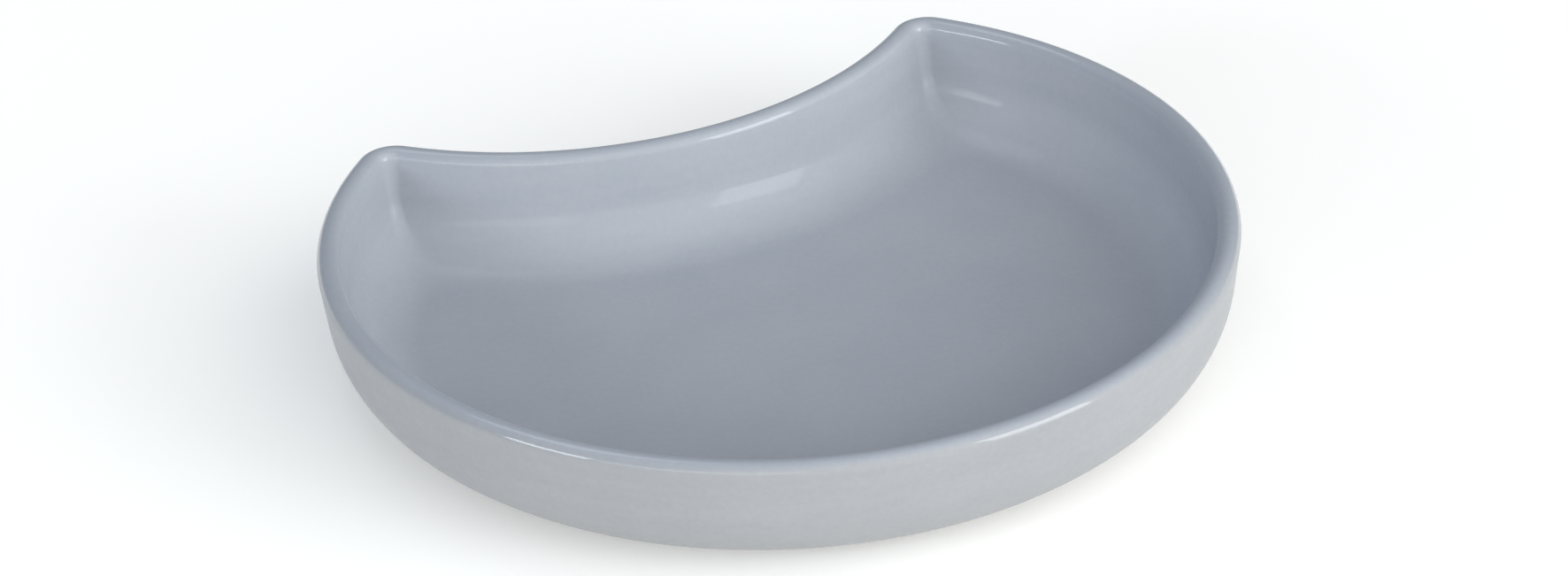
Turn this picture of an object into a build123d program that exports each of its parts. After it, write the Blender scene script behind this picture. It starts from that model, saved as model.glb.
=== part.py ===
"""Crescent-shaped kidney dish in glazed stoneware.

Seen from above, the dish is a disc with a round bite taken out of its back, which leaves two
horns. Its wall leans outwards from a big rounded heel and ends in a fully rounded rim. It stands
on a low foot ring of bare clay, which is set far in under the heel.

The dish is one piece: nothing on it is assembled and nothing moves. What can be told apart are
the fired clay body and the glass that is fused onto it, in two areas that the foot ring keeps
separate. One covers the inside, the rim and the outside. The other covers the underside, inside
the foot ring.

Frame, in millimetres: +Z is up and z = 0 is the surface that the dish stands on. The origin is
below the middle of the dish's bounding box, +Y points to the bite and the horns, and the dish is
symmetric about the YZ plane.
"""

from build123d import *

import os
from math import cos, radians, sin, tan

# Plan, at the rim's outermost line
RIM_RADIUS = 102.0  # convex side
BITE_RADIUS = 91.2  # concave side
WAIST = 150.5  # front to back at the middle, from the convex side to the concave one
HORN_RADIUS = 8.7  # outside corner of each horn
HEEL_HORN_RADIUS = 7.4  # the same corner where the wall meets the heel
SOLE_HORN_RADIUS = 4.0  # and where the heel meets the sole
CREASE_RADIUS = 2.6  # inside corner of the cavity where the wall meets the cove
FLOOR_CORNER_RADIUS = 8.0  # and where the cove meets the floor

# Section, over the glaze
HEIGHT = 31.6
FOOT_HEIGHT = 2.0  # from the table up to the sole
FLOOR = 5.4  # from the sole up to the cavity's floor
WALL = 5.3  # across the rim, before it is rounded
OUTSIDE_LEAN = 7.0  # degrees from vertical
INSIDE_LEAN = 8.0  # degrees from vertical
HEEL_RADIUS = 19.2  # from the outside of the wall round to the sole
COVE_RADIUS = 14.8  # from the inside of the wall round to the floor
RIM_LAND = 0.2  # flat strip left between the rim's two rounds

# Foot ring
FOOT_MARGIN = 0.8  # from the end of the heel in to the ring
FOOT_WIDTH = 4.2
FOOT_EASE = 0.5  # round on the ring's bottom edges
FOOT_CORNER = 5.0  # outside corner of the ring at each horn
FOOT_INNER_CORNER = 2.0

GLAZE = 0.4  # thickness of the fired glaze
ARC_STEPS = 8  # levels that shape the heel or the cove
WALL_STEPS = 4  # levels that keep the wall straight above it
OVERRUN = 1.0  # how far a cutting solid runs past what it cuts


def arc_centre_inset(top_inset, top, bottom, lean, radius):
    """How far in from the rim's line the centre of a heel or cove arc lies."""
    drop = top - bottom - radius
    return top_inset + drop * tan(radians(lean)) + radius / cos(radians(lean))


def between(start, end, share):
    """The value that lies a share of the way from start to end."""
    return start + share * (end - start)


def side_levels(top_inset, top, bottom, lean, radius, corners):
    """Levels of a side from its flat bottom up an arc and a straight wall.

    Each level is its inset, its height and its corner radius. The corners are those at the
    bottom, where the arc meets the wall, and at the top.
    """
    bottom_corner, middle_corner, top_corner = corners
    centre = arc_centre_inset(top_inset, top, bottom, lean, radius)
    levels = []
    for step in range(ARC_STEPS + 1):
        angle = radians(between(90, lean, step / ARC_STEPS))
        height = bottom + radius * (1 - sin(angle))
        corner = between(bottom_corner, middle_corner, cos(angle) / cos(radians(lean)))
        levels.append((centre - radius * cos(angle), height, corner))
    arc_inset, arc_top, _ = levels[-1]
    for step in range(1, WALL_STEPS + 1):
        share = step / WALL_STEPS
        inset = between(arc_inset, top_inset, share)
        levels.append(
            (inset, between(arc_top, top, share), between(middle_corner, top_corner, share))
        )
    return levels


# The rim's two rounds meet the land on top and the leaning sides, so their radius follows from
# the wall.
OUTER_SET_BACK = 1 / tan(radians(90 - OUTSIDE_LEAN) / 2)
INNER_SET_BACK = 1 / tan(radians(90 + INSIDE_LEAN) / 2)
RIM_ROUND = (WALL - RIM_LAND) / (OUTER_SET_BACK + INNER_SET_BACK)
RIM_LOSS = RIM_ROUND * (OUTER_SET_BACK - 1)  # from the sharp edge in to the outermost line

BITE_Y = WAIST - RIM_RADIUS + BITE_RADIUS  # centre of the bite, from the centre of the rim's arc
# The centre of a horn's round is HORN_RADIUS inside the convex side and as far from the bite.
HORN_Y = (
    (RIM_RADIUS - HORN_RADIUS) ** 2 - (BITE_RADIUS + HORN_RADIUS) ** 2 + BITE_Y**2
) / (2 * BITE_Y)
PLAN_Y = (RIM_RADIUS - (HORN_Y + HORN_RADIUS)) / 2  # centre of the rim's arc, in the dish's frame

SOLE_INSET = arc_centre_inset(-RIM_LOSS, HEIGHT, FOOT_HEIGHT, OUTSIDE_LEAN, HEEL_RADIUS)
FOOT_INSET = SOLE_INSET + FOOT_MARGIN


def crescent(inset, corner):
    """The dish's plan, drawn in from the rim's line, with its two horns rounded."""
    with Locations(Location((0, 0, 0), (0, 0, 90))):
        Circle(RIM_RADIUS - inset)
    with Locations((0, BITE_Y)):
        Circle(BITE_RADIUS + inset, mode=Mode.SUBTRACT)
    fillet(vertices().group_by(Axis.Y)[-1], corner)


def crescent_solid(levels):
    """A solid lofted through a crescent at each level."""
    with BuildPart() as solid:
        for inset, height, corner in levels:
            with BuildSketch(Plane((0, PLAN_Y, height))):
                crescent(inset, corner)
        loft()
    return solid.part


def dish_shape(depth):
    """The dish without its foot ring, at a depth below the surface of the glaze."""
    top = HEIGHT - depth
    outside = side_levels(
        depth * OUTER_SET_BACK - RIM_LOSS,
        top,
        FOOT_HEIGHT + depth,
        OUTSIDE_LEAN,
        HEEL_RADIUS - depth,
        [
            SOLE_HORN_RADIUS - depth,
            HEEL_HORN_RADIUS - depth,
            HORN_RADIUS + RIM_LOSS - depth,
        ],
    )
    inside = side_levels(
        WALL - RIM_LOSS - depth * INNER_SET_BACK - OVERRUN * tan(radians(INSIDE_LEAN)),
        top + OVERRUN,
        FOOT_HEIGHT + FLOOR - depth,
        INSIDE_LEAN,
        COVE_RADIUS + depth,
        [
            FLOOR_CORNER_RADIUS + depth,
            CREASE_RADIUS + depth,
            HORN_RADIUS + RIM_LOSS - WALL + depth,
        ],
    )
    with BuildPart() as shape:
        add(crescent_solid(outside))
        add(crescent_solid(inside), mode=Mode.SUBTRACT)
        fillet(faces().sort_by(Axis.Z)[-1].edges(), RIM_ROUND - depth)
    return shape.part


glazed_shape = dish_shape(0)
clay_shape = dish_shape(GLAZE)

# The fired clay: the dish below its glaze, and the bare foot ring that it stands on
with BuildPart() as stoneware_body:
    with BuildSketch(Plane((0, PLAN_Y, 0))):
        crescent(FOOT_INSET, FOOT_CORNER)
    extrude(amount=FOOT_HEIGHT + FLOOR / 2)
    with BuildSketch(Plane((0, PLAN_Y, 0))):
        crescent(FOOT_INSET + FOOT_WIDTH, FOOT_INNER_CORNER)
    extrude(amount=FOOT_HEIGHT + FLOOR / 2, mode=Mode.SUBTRACT)
    fillet(faces().sort_by(Axis.Z)[0].edges(), FOOT_EASE)
    add(clay_shape)

# The glaze over the inside, the rim and the outside, which stops at the foot ring
with BuildPart() as glaze_coat:
    add(glazed_shape)
    add(clay_shape, mode=Mode.SUBTRACT)
    with BuildSketch(Plane((0, PLAN_Y, 0))):
        crescent(FOOT_INSET, FOOT_CORNER)
    extrude(amount=FOOT_HEIGHT + FLOOR / 2, mode=Mode.SUBTRACT)

# The glaze on the underside, inside the foot ring
with BuildPart() as underside_glaze:
    with BuildSketch(Plane((0, PLAN_Y, FOOT_HEIGHT))):
        crescent(FOOT_INSET + FOOT_WIDTH, FOOT_INNER_CORNER)
    extrude(amount=GLAZE)

stoneware_body.part.label = "stoneware_body"
glaze_coat.part.label = "glaze_coat"
underside_glaze.part.label = "underside_glaze"

os.makedirs("parts", exist_ok=True)
export_step(stoneware_body.part, "parts/stoneware_body.step")
export_step(glaze_coat.part, "parts/glaze_coat.step")
export_step(underside_glaze.part, "parts/underside_glaze.step")

print("clay", round(stoneware_body.part.volume / 1000, 1), "cm3")
print("glaze", round((glaze_coat.part.volume + underside_glaze.part.volume) / 1000, 1), "cm3")
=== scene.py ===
# %% [markdown]
# # A glazed stoneware kidney dish
# Seen from above, this ward dish is a disc with a round bite out of its back, which leaves two
# horns. It is one piece of fired clay with glass melted over it, and it stands on a bare foot
# ring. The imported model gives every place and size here. These cells give it its surface: a fine
# mesh for the glaze, finishes for glaze and clay, and a light tent to see them in.

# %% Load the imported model
from math import atan2, cos, pi, radians, sin, sqrt, tan

import bmesh
import bpy
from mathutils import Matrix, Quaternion, Vector, noise


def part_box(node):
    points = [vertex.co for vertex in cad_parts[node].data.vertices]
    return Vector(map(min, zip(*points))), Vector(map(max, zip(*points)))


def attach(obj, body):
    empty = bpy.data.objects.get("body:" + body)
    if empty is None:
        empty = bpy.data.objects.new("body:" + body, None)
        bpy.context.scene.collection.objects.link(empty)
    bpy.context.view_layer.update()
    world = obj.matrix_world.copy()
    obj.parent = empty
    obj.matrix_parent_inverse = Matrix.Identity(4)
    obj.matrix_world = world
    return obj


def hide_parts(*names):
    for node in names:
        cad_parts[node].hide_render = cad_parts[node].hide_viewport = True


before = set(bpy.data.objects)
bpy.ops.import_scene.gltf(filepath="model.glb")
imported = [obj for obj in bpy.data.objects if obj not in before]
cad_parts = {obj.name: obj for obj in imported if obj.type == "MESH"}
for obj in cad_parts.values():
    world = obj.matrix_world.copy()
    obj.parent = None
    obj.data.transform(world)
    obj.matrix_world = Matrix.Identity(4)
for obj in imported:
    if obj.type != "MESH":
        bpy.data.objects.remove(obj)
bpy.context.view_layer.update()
MM = 0.001
print("nodes:", ", ".join(sorted(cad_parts)))

# %% [markdown]
# ## The plan
# Every horizontal cut through the dish is the same figure: a big arc, a small arc round each
# horn, and the bite's arc. Only three numbers change from cut to cut: how far in the cut is from
# the rim's outermost line, its height, and the radius of its horns. The widths and heights are
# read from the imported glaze, and the rest are the dish's own sizes.

# %% Sizes of the plan and the section
glaze_low, glaze_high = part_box("glaze_coat")
rim_radius = (glaze_high.x - glaze_low.x) / 2
plan_y = glaze_low.y + rim_radius
sole_z = glaze_low.z
rim_z = glaze_high.z
bite_radius = 91.2 * MM
bite_y = 150.5 * MM - rim_radius + bite_radius
floor_z = sole_z + 5.4 * MM
wall = 5.3 * MM
glaze_thickness = 0.4 * MM
outside_lean = radians(7)
inside_lean = radians(8)
heel_radius = 19.2 * MM
cove_radius = 14.8 * MM
rim_land = 0.2 * MM
outer_set_back = 1 / tan((radians(90) - outside_lean) / 2)
inner_set_back = 1 / tan((radians(90) + inside_lean) / 2)
rim_round = (wall - rim_land) / (outer_set_back + inner_set_back)
horn_radius = 8.7 * MM
heel_horn_radius = 7.4 * MM
sole_horn_radius = 4.0 * MM
crease_radius = 2.6 * MM
floor_corner_radius = 8.0 * MM
foot_inset = 21.09 * MM
foot_width = 4.2 * MM
foot_gap = 0.3 * MM  # bare clay between the glaze and the foot ring
sole_mark = -2
print(f"rim {2000 * rim_radius:.1f} mm across, {1000 * (rim_z - sole_z):.1f} mm above the sole")

# %% [markdown]
# ## The section
# Walking over the glaze from the foot ring to the middle of the cavity gives the section: the
# sole, the heel's arc, the leaning wall, the round rim, the wall inside, the cove's arc and the
# floor. Each stop on that walk is one cut of the plan, written as inset, height, horn radius and
# a mark that says how far the walk has come: -2 on the sole, -1 on the outer wall, 0 on top of
# the rim, 1 on the inner wall and 2 on the floor. The glaze's finish reads this mark later.

# %% Stops along the section
def between(start, end, share):
    """The value that lies a share of the way from start to end."""
    return start + share * (end - start)


def shares(count):
    """Evenly spaced shares after 0, up to 1."""
    return [step / count for step in range(1, count + 1)]


def rim_stops(depth, steps=9):
    """Over the rim, from the wall outside to the wall inside, at a depth below the surface."""
    stops = []
    for centre, start, end in (
        (rim_round, -outside_lean, radians(90)),
        (rim_round + rim_land, radians(90), radians(180) - inside_lean),
    ):
        for share in [0] + shares(steps):
            angle = between(start, end, share)
            inset = centre - (rim_round - depth) * cos(angle)
            height = rim_z - rim_round + (rim_round - depth) * sin(angle)
            stops.append((inset, height, horn_radius - inset, -cos(angle)))
    return stops


def arc_stops(wall_stop, bottom, lean, radius, corners, side, wall_steps=6, arc_steps=16):
    """Down from the rim's edge: a straight wall, then an arc that ends level with the bottom."""
    inset, height, corner, _ = wall_stop
    arc_corner, bottom_corner = corners
    arc_top = bottom + radius * (1 - sin(lean))
    arc_inset = inset + (height - arc_top) * tan(lean)
    stops = [
        (between(inset, arc_inset, s), between(height, arc_top, s), between(corner, arc_corner, s), side)
        for s in shares(wall_steps)
    ]
    for share in shares(arc_steps):
        angle = between(lean, radians(90), share)
        stops.append(
            (
                arc_inset + radius * (cos(lean) - cos(angle)),
                bottom + radius * (1 - sin(angle)),
                between(arc_corner, bottom_corner, 1 - cos(angle) / cos(lean)),
                side * (1 + share),
            )
        )
    return stops


def flat_stops(start, end_inset, end_corner, steps):
    """Across a flat surface, from a stop to an inset."""
    inset, height, corner, mark = start
    return [
        (between(inset, end_inset, s), height, between(corner, end_corner, s), mark)
        for s in shares(steps)
    ]


last_corner = 2 * MM  # horn radius of the innermost cut of a flat surface


def section(depth, floor_inset=64 * MM):
    """The whole walk at a depth below the surface, from the foot ring to the middle of the floor."""
    rim = rim_stops(depth)
    outside = arc_stops(
        rim[0], sole_z + depth, outside_lean, heel_radius - depth,
        (heel_horn_radius - depth, sole_horn_radius - depth), side=-1,
    )
    inside = arc_stops(
        rim[-1], floor_z - depth, inside_lean, cove_radius + depth,
        (crease_radius + depth, floor_corner_radius + depth), side=1,
    )
    sole_end = foot_inset - foot_gap - glaze_thickness + depth
    sole = flat_stops(outside[-1], sole_end, sole_horn_radius, steps=2)
    floor = flat_stops(inside[-1], floor_inset, last_corner, steps=10)
    return sole[::-1] + outside[::-1] + rim + inside + floor


print(len(section(0)), "cuts from the foot ring to the middle of the floor")

# %% [markdown]
# ## The glaze as a skin
# Each cut is drawn the way a potter's template is cut, by swinging arcs: one vertex is spun about
# the middle of the dish, then about the horn, then about the middle of the bite. That draws half
# of the outline, neighbouring outlines are bridged with faces, and a mirror makes the other half.
# A chain of cuts over the outside and back along the clay gives a closed skin with a real
# thickness, which could be printed or cut in half.

# %% One outline from three spins
def swing(bm, vertex, centre, angle, steps):
    """Spins a vertex about an upright axis and returns the last of the new ones."""
    spun = bmesh.ops.spin(
        bm, geom=[vertex], cent=centre, axis=(0, 0, 1), angle=angle, steps=steps, use_merge=False
    )
    return [part for part in spun["geom_last"] if isinstance(part, bmesh.types.BMVert)][0]


def half_outline(stop, steps=(170, 14, 64)):
    """The +X half of one cut, as a mesh of edges."""
    inset, height, corner, mark = stop
    radius = rim_radius - inset
    bite = bite_radius + inset
    horn_y = ((radius - corner) ** 2 - (bite + corner) ** 2 + bite_y**2) / (2 * bite_y)
    horn_x = sqrt((radius - corner) ** 2 - horn_y**2)
    horn_start = atan2(horn_y, horn_x)
    horn_end = atan2(bite_y - horn_y, -horn_x)
    bite_start = atan2(horn_y - bite_y, horn_x)
    centres = ((0, 0), (horn_x, horn_y), (0, bite_y))
    angles = (horn_start - radians(-90), horn_end - horn_start, radians(-90) - bite_start)
    bm = bmesh.new()
    layer = bm.verts.layers.float.new("mark")
    vertex = bm.verts.new((0, plan_y - radius, height))
    for (x, y), angle, count in zip(centres, angles, steps):
        vertex = swing(bm, vertex, (x, y + plan_y, height), angle, count)
    vertex.co.x = 0
    for vertex in bm.verts:
        vertex[layer] = mark
    return finished_mesh(bm, "outline")


def finished_mesh(bm, name):
    """Writes a bmesh to a new mesh and frees it."""
    mesh = bpy.data.meshes.new(name)
    bm.to_mesh(mesh)
    bm.free()
    return mesh


# %% A closed skin from a chain of cuts
merge_distance = 0.002 * MM


def strip(first, second):
    """The faces between two neighbouring outlines."""
    bm = bmesh.new()
    bm.from_mesh(first)
    bm.from_mesh(second)
    bmesh.ops.bridge_loops(bm, edges=bm.edges[:])
    return finished_mesh(bm, "strip")


def closed_skin(stops):
    """Bridges the cuts in order, mirrors them, and closes the first and the last with a face."""
    outlines = [half_outline(stop) for stop in stops]
    strips = [strip(first, second) for first, second in zip(outlines, outlines[1:])]
    bm = bmesh.new()
    for mesh in strips:
        bm.from_mesh(mesh)
    for mesh in outlines + strips:
        bpy.data.meshes.remove(mesh)
    both_halves = bm.verts[:] + bm.edges[:] + bm.faces[:]
    bmesh.ops.mirror(bm, geom=both_halves, axis="X", merge_dist=merge_distance)
    bmesh.ops.remove_doubles(bm, verts=bm.verts[:], dist=merge_distance)
    bmesh.ops.holes_fill(bm, edges=[edge for edge in bm.edges if edge.is_boundary], sides=0)
    bmesh.ops.recalc_face_normals(bm, faces=bm.faces[:])
    return bm


edge_stop = (foot_inset - foot_gap, sole_z + glaze_thickness / 2, sole_horn_radius, sole_mark)
glaze_bm = closed_skin(section(glaze_thickness)[::-1] + [edge_stop] + section(0))
print("glaze:", len(glaze_bm.faces), "faces,", round(glaze_bm.calc_volume() / MM**3 / 1000, 1), "cm3")

# %% [markdown]
# ## The maker's hand
# A cast dish is never quite true: the slip shrinks unevenly in the kiln, and melted glass finds
# its own level. A tenth of a millimetre, in swells a few centimetres wide, is enough to make a
# highlight wander as it does on a real rim. The swell is a smooth noise read at each vertex, so
# both sides of the skin move together and its thickness stays. This noise starts from a seed,
# which is set so that every run gives the same dish.

# %% Swell the skin a little
def swell(bm, height=0.12 * MM, width=45 * MM):
    """Moves each vertex along a slow noise that is height deep and has lumps of the given width."""
    noise.seed_set(8)
    for vertex in bm.verts:
        vertex.co += height * noise.noise_vector(vertex.co / width)


def finished_piece(bm, name, material_slot, *nodes):
    """Makes the bmesh a smooth piece of the dish that stands for the CAD nodes."""
    piece = bpy.data.objects.new(name, finished_mesh(bm, name))
    piece.data.shade_smooth()
    bpy.context.scene.collection.objects.link(piece)
    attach(piece, "root")
    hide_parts(*nodes)
    return piece


swell(glaze_bm)
glaze = finished_piece(glaze_bm, "glaze_over_dish", "glaze", "glaze_coat")
print(glaze.name, len(glaze.data.vertices), "vertices")

# %% [markdown]
# The patch of glaze inside the foot ring is a skin of the same kind, a flat one. Its edge is
# drawn back from the ring by a hair, as glass draws back from a waxed ring in the kiln.

# %% Glaze inside the foot ring
patch_inset = foot_inset + foot_width + foot_gap
patch_end = 60 * MM
patch_lip = 0.1 * MM
patch_edge = (patch_inset, sole_z + glaze_thickness / 2, last_corner, sole_mark)
clay_side = (patch_inset + patch_lip, sole_z + glaze_thickness, last_corner, sole_mark)
open_side = (patch_inset + 2 * patch_lip, sole_z, last_corner, sole_mark)
patch_stops = [
    [stop] + flat_stops(stop, patch_end, last_corner, steps=8) for stop in (clay_side, open_side)
]
patch_bm = closed_skin(patch_stops[0][::-1] + [patch_edge] + patch_stops[1])
patch = finished_piece(patch_bm, "glaze_under_dish", "glaze", "underside_glaze")
print(patch.name, len(patch.data.polygons), "faces")

# %% [markdown]
# ## Writing a finish as sums
# A glaze is a handful of patterns added and multiplied. Blender wants each sum as a node, which
# is slow to write and hard to read, so this small class wraps a node's output and lets Python's
# own signs place the nodes.

# %% A wrapper for shader sums
class Pattern:
    """A value that changes over a surface. Arithmetic on it adds Math nodes."""

    def __init__(self, finish, socket):
        self.finish = finish
        self.socket = socket

    def maths(self, operation, *values):
        return self.finish.node("ShaderNodeMath", {"operation": operation}, dict(enumerate(values)))

    def __add__(self, other):
        return self.maths("ADD", self, other)

    def __sub__(self, other):
        return self.maths("SUBTRACT", self, other)

    def __rsub__(self, other):
        return self.maths("SUBTRACT", other, self)

    def __mul__(self, other):
        return self.maths("MULTIPLY", self, other)

    def __gt__(self, other):
        return self.maths("GREATER_THAN", self, other)

    __radd__ = __add__
    __rmul__ = __mul__


class Finish:
    """A material or a world whose nodes are added one call at a time."""

    def __init__(self, owner, place="Object"):
        owner.use_nodes = True
        self.owner = owner
        self.tree = owner.node_tree
        self.tree.nodes.clear()
        self.place = self.node("ShaderNodeTexCoord", out=place)

    def node(self, kind, settings=None, sockets=None, out=0):
        """Adds a node: its settings first, then a value or a link for each socket."""
        node = self.tree.nodes.new(kind)
        for key, value in (settings or {}).items():
            setattr(node, key, value)
        for key, value in (sockets or {}).items():
            if isinstance(value, Pattern):
                self.tree.links.new(value.socket, node.inputs[key])
            else:
                node.inputs[key].default_value = value
        return Pattern(self, node.outputs[out]) if node.outputs else None

    def lumps(self, width, detail=2, roughness=0.5, squash=1):
        """A noise from 0 to 1, whose lumps are about that wide, and that much lower than wide."""
        place = self.node("ShaderNodeMapping", None, {"Vector": self.place, "Scale": (1, 1, squash)})
        sockets = {"Vector": place, "Scale": 1 / width, "Detail": detail, "Roughness": roughness}
        return self.node("ShaderNodeTexNoise", None, sockets, out="Fac")

    def ramp(self, value, low, high):
        """Maps a value to 0 below low and to 1 above high, smoothly."""
        sockets = {"Value": value, "From Min": low, "From Max": high}
        return self.node("ShaderNodeMapRange", {"interpolation_type": "SMOOTHSTEP"}, sockets, out="Result")

    def mix(self, factor, first, second):
        """Mixes two colours."""
        sockets = {"Factor": factor, 6: first, 7: second}
        return self.node("ShaderNodeMix", {"data_type": "RGBA"}, sockets, out=2)

    def bump(self, height, depth):
        """A normal from a height of 0 to 1 that stands for depth metres."""
        sockets = {"Height": height, "Strength": 1, "Distance": depth}
        return self.node("ShaderNodeBump", None, sockets, out="Normal")

    def surface(self, **sockets):
        """Finishes the material with one Principled shader."""
        named = {key.replace("_", " "): value for key, value in sockets.items()}
        shader = self.node("ShaderNodeBsdfPrincipled", None, named)
        self.node("ShaderNodeOutputMaterial", None, {"Surface": shader})
        return self.owner


# %% [markdown]
# ## The glaze
# The glaze is a pale blue-grey, semi-opaque glass. Three things keep it from looking like painted
# plastic. Its tone drifts over a few centimetres and shows low runs and a fine mottle. It is
# deeper where it pools in the cove. Its colour also carries painted shade: the top of the rim is
# painted darker, and the outside is painted greyer and darker than the inside, against the light
# of the glowing table. And its gloss changes: the rim has a hard, smooth coat over a rougher base,
# and elsewhere most of that coat is taken away, which leaves a broad, soft sheen. The mark that
# each cut wrote to the mesh tells the finish where on the section it is.

# %% Glaze finish
pale_blue = (0.405, 0.43, 0.475, 1)
deep_blue = (0.335, 0.365, 0.415, 1)
# Darker, greyer copies of the glaze for the outside: painted shade against the glow of the table.
shaded_outside_pale = (0.335, 0.342, 0.355, 1)
shaded_outside_deep = (0.280, 0.293, 0.312, 1)


def glaze_finish():
    glass = Finish(bpy.data.materials.new("blue_grey_glaze"))
    mark = glass.node("ShaderNodeAttribute", {"attribute_name": "mark"}, out="Fac")
    drift = glass.lumps(30 * MM, detail=2)
    runs = glass.lumps(26 * MM, detail=3, squash=9)
    mottle = glass.lumps(1.5 * MM, detail=3, roughness=0.65)
    pooled = glass.ramp(mark, 1, 2)
    satin = glass.ramp(mark.maths("ABSOLUTE", mark), 0.85, 1.02)
    tone = 0.4 + 0.7 * (drift - 0.5) + 0.6 * (runs - 0.5) + 0.8 * (mottle - 0.5)
    # Pooled glaze makes the cove and the floor deeper. The last term is painted shade: it darkens the top
    # of the rim, standing in for the dim light the rim faces.
    tone = tone + 0.2 * pooled + 0.55 * (1 - satin)
    # The outside takes the darker, greyer copy of the glaze: painted shade.
    outside = glass.mix(tone, shaded_outside_pale, shaded_outside_deep)
    inside = glass.mix(tone, pale_blue, deep_blue)
    peel = glass.lumps(7 * MM, detail=1) * 0.85 + mottle * 0.15
    return glass.surface(
        Base_Color=glass.mix(glass.ramp(mark, -1.1, -0.3), outside, inside),
        Roughness=0.36 + 0.16 * satin + 0.1 * (drift - 0.5) + 0.06 * (mottle - 0.5),
        IOR=1.5,
        Specular_IOR_Level=0.15,
        Coat_Weight=1 - 0.75 * satin,
        Coat_Roughness=0.06,
        Coat_IOR=1.5,
        Normal=glass.bump(peel, 0.012 * MM),
    )


glaze_material = glaze_finish()
for piece in (glaze, patch):
    piece.data.materials.append(glaze_material)
print("glaze nodes:", len(glaze_material.node_tree.nodes))

# %% [markdown]
# ## The bare clay
# Only the foot ring shows its clay. Fired stoneware is a warm buff, matt and slightly sandy, with
# dark iron specks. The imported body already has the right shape, so it keeps its mesh and only
# gets this finish.

# %% Clay finish
dark_buff = (0.60, 0.52, 0.42, 1)
pale_buff = (0.70, 0.63, 0.53, 1)
iron_brown = (0.16, 0.10, 0.06, 1)


def clay_finish():
    clay = Finish(bpy.data.materials.new("bare_stoneware"))
    sand = clay.lumps(0.5 * MM, detail=4, roughness=0.7)
    bloom = clay.lumps(14 * MM, detail=2)
    buff = clay.mix(bloom * 0.6 + sand * 0.4, dark_buff, pale_buff)
    iron = clay.ramp(clay.lumps(0.9 * MM, detail=1), 0.68, 0.74)
    return clay.surface(
        Base_Color=clay.mix(iron * 0.7, buff, iron_brown),
        Roughness=0.86 + 0.12 * (sand - 0.5),
        Normal=clay.bump(sand, 0.06 * MM),
    )


body_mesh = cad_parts["stoneware_body"].data
body_mesh.materials.clear()
body_mesh.materials.append(clay_finish())
print("clay nodes:", len(body_mesh.materials[0].node_tree.nodes))

# %% [markdown]
# ## The studio
# The dish stands on a white table inside a light tent. The front of the tent is bright and its
# back is dim, so the walls that face the front are paler than the floor of the dish, and the far
# right of the floor is darkest. A smooth change from bright to dim keeps hard edges out of the
# gloss. Four softboxes then draw the lines of light along the rim and in the cove: a tall key at
# the front right, a small bright one at the left, a wide faint one at the front left, and a small
# one high up behind.

# %% Table
def table(half_width=4):
    """A white sheet under the dish that glows a little, as a lit table does."""
    bm = bmesh.new()
    bmesh.ops.create_grid(bm, x_segments=1, y_segments=1, size=half_width)
    top = bpy.data.objects.new("table", finished_mesh(bm, "table"))
    bpy.context.scene.collection.objects.link(top)
    white = Finish(bpy.data.materials.new("white_table"))
    weave = white.lumps(0.2, detail=2)
    sheet = white.surface(
        Base_Color=white.mix(weave, (0.91, 0.91, 0.90, 1), (0.93, 0.93, 0.92, 1)),
        Roughness=0.8,
        Emission_Color=(1.0, 0.99, 0.95, 1),
        Emission_Strength=0.2,
    )
    top.data.materials.append(sheet)


def direction(azimuth, elevation):
    """Towards a place round the dish: azimuth 0 is the front, 90 the right, in degrees."""
    turn, rise = radians(azimuth), radians(elevation)
    return Vector((sin(turn) * cos(rise), -cos(turn) * cos(rise), sin(rise)))


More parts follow.
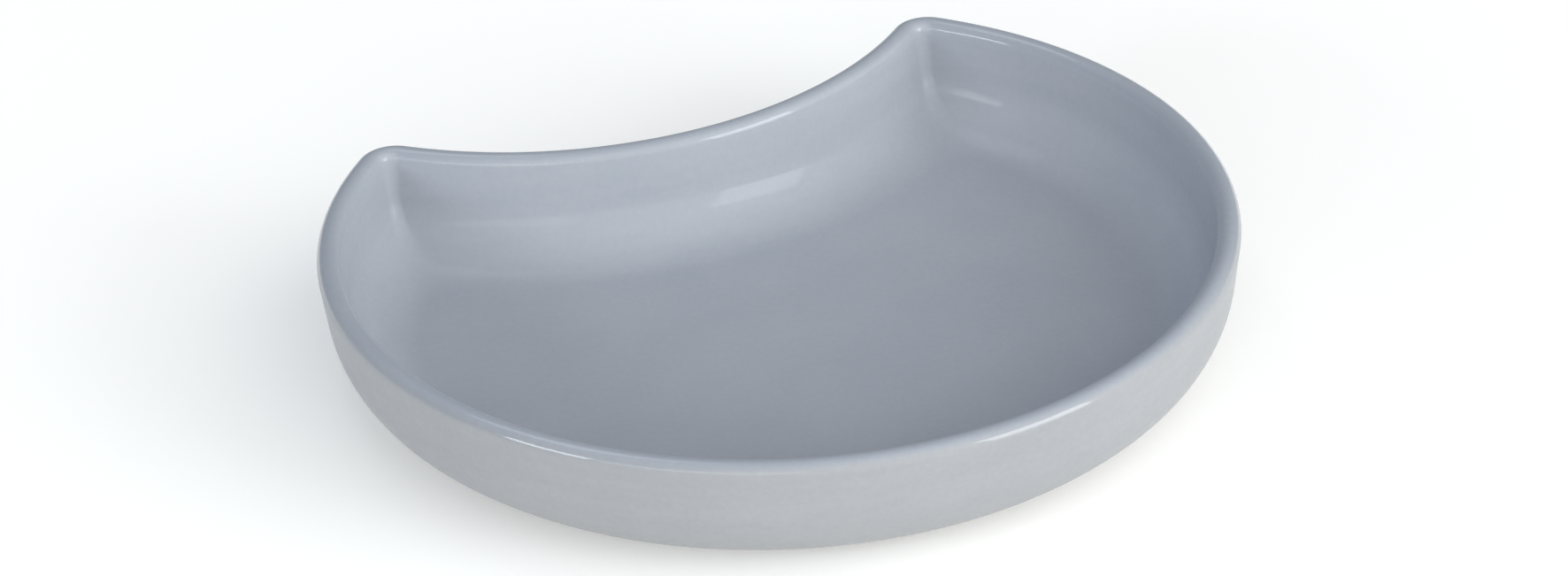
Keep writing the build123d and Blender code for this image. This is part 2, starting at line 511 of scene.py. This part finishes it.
# %% Tent
def tent(bright_side, dim, bright):
    """A world that is warm and bright on one side, and cool and dim on the other."""
    cool = (0.92, 1.0, 1.12, 1)
    warm = (1.04, 1.0, 0.92, 1)
    cloth = Finish(bpy.data.worlds.new("tent"), place="Generated")
    facing = cloth.node(
        "ShaderNodeVectorMath", {"operation": "DOT_PRODUCT"}, {0: cloth.place, 1: bright_side}, out="Value"
    )
    share = cloth.ramp(facing, -0.14, 0.73)
    tint = cloth.mix(share, cool, warm)
    strength = dim + (bright - dim) * share
    light = cloth.node("ShaderNodeBackground", None, {"Color": tint, "Strength": strength})
    cloth.node("ShaderNodeOutputWorld", None, {"Surface": light})
    return cloth.owner


table()
bpy.context.scene.world = tent(direction(20, -4), dim=0.33, bright=1.6)
bpy.context.scene.view_settings.view_transform = "Standard"
print("tent nodes:", len(bpy.context.scene.world.node_tree.nodes))

# %% Softboxes and camera
middle = Vector((0, plan_y, (sole_z + rim_z) / 2))
lamp_blue = (0.87, 0.93, 1.0)


def aim(thing, azimuth, elevation, distance, roll=0):
    """Stands a light or a camera in that direction, looking at the middle of the dish."""
    back = direction(azimuth, elevation)
    thing.location = middle + distance * back
    thing.rotation_mode = "QUATERNION"
    thing.rotation_quaternion = back.to_track_quat("Z", "Y") @ Quaternion((0, 0, 1), radians(roll))


def softbox(name, azimuth, elevation, width, height, radiance, distance=1.2):
    """A rectangular light that spans so many degrees each way, seen from the dish."""
    light = bpy.data.lights.new(name, "AREA")
    light.shape = "RECTANGLE"
    light.size = 2 * distance * tan(radians(width) / 2)
    light.size_y = 2 * distance * tan(radians(height) / 2)
    light.energy = radiance * pi * light.size * light.size_y
    light.color = lamp_blue
    lamp = bpy.data.objects.new(name, light)
    bpy.context.scene.collection.objects.link(lamp)
    aim(lamp, azimuth, elevation, distance)


softbox("key", 36, 16, width=26, height=30, radiance=5.4)
softbox("side", -78, 18, width=20, height=13, radiance=8.0)
softbox("front", -42, 18, width=44, height=13, radiance=1.9)
softbox("overhead", -165, 62, width=24, height=16, radiance=1.5)

lens = bpy.data.cameras.new("camera")
lens.lens = 128.6
lens.shift_x = 0.0021
lens.shift_y = -0.0066
camera = bpy.data.objects.new("camera", lens)
bpy.context.scene.collection.objects.link(camera)
aim(camera, -22.36, 30.53, 1.2446, roll=-2.59)
bpy.context.scene.camera = camera
print(len(bpy.data.lights), "softboxes, camera at", [round(place, 3) for place in camera.location])
